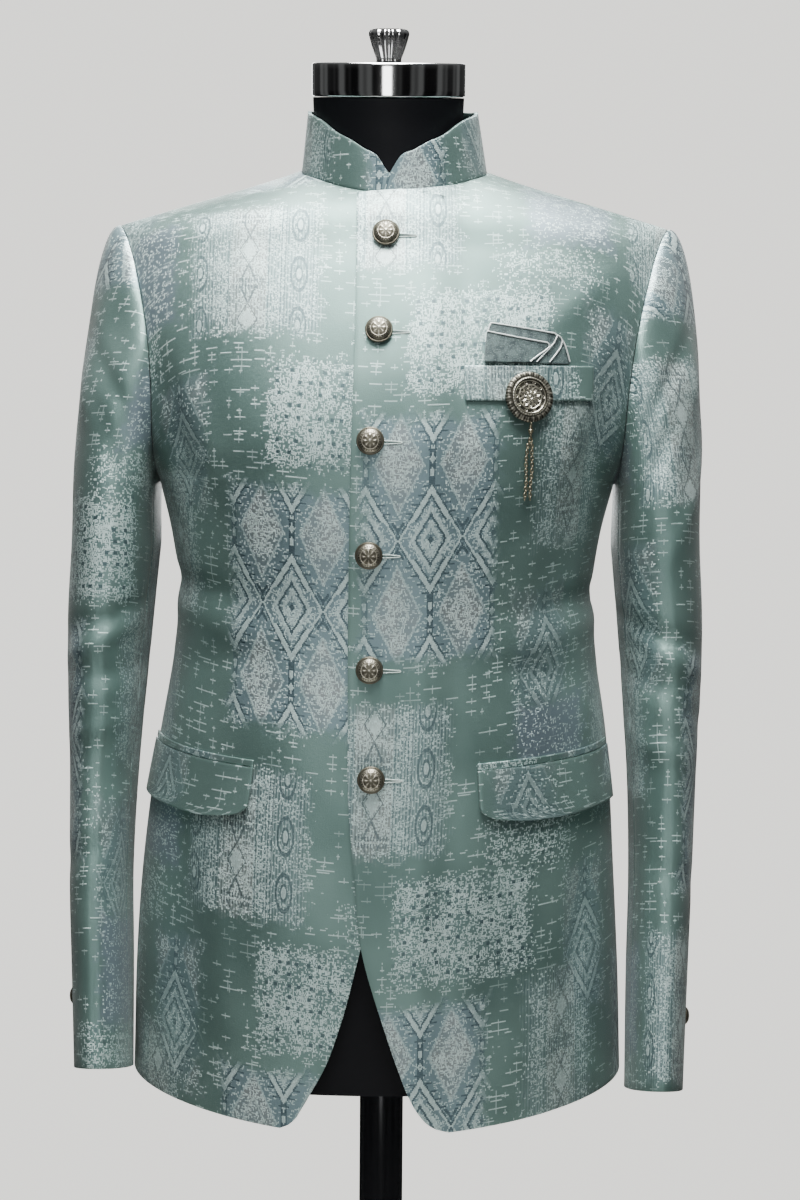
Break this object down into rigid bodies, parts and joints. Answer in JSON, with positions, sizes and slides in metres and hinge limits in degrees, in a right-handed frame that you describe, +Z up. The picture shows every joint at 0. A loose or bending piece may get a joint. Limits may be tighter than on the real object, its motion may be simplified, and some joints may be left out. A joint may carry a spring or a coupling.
{
  "type": "bandhgala jacket on dress form",
  "caption": "Single-breasted stand-collar bandhgala jacket in patterned brocade, worn by a limbless dress form on a pole with a round base.",
  "frame": {"origin": "centre of the base plate's underside, on the dress form's vertical axis", "axes": "+Z up along the pole, +X to the wearer's left, -Y the way the wearer faces"},
  "size_m": [0.5281, 0.38, 1.6703],
  "materials": {
    "brocade": "satin",
    "antique_metal": "antique",
    "form": "matt",
    "chrome": "polished",
    "stand": "gloss"
  },
  "bodies": {
    "garment": {"front_left": "brocade", "front_right": "brocade", "back_left": "brocade", "back_right": "brocade", "sleeve_top_left": "brocade", "sleeve_under_left": "brocade", "sleeve_top_right": "brocade", "sleeve_under_right": "brocade", "collar": "brocade", "pocket_jet_left": "brocade", "pocket_jet_right": "brocade", "flap_left": "brocade", "flap_right": "brocade", "chest_welt": "brocade", "pocket_square": "brocade", "button_1": "antique_metal", "button_2": "antique_metal", "button_3": "antique_metal", "button_4": "antique_metal", "button_5": "antique_metal", "button_6": "antique_metal", "cuff_button_left": "antique_metal", "cuff_button_right": "antique_metal", "brooch": "antique_metal", "form_torso": "form", "neck_cap": "chrome", "cap_knob": "chrome", "pole": "stand", "pole_foot": "stand", "base_plate": "stand"},
    "chain": {"brooch_chain": "antique_metal"}
  },
  "joints": [
    {"name": "chain_swing", "type": "hinge", "parent": "garment", "child": "chain", "pos_m": [0.11355, -0.13327, 1.34846], "axis": [0.3231, -0.9384, 0.1226], "range_deg": [-18, 18]}
  ]
}
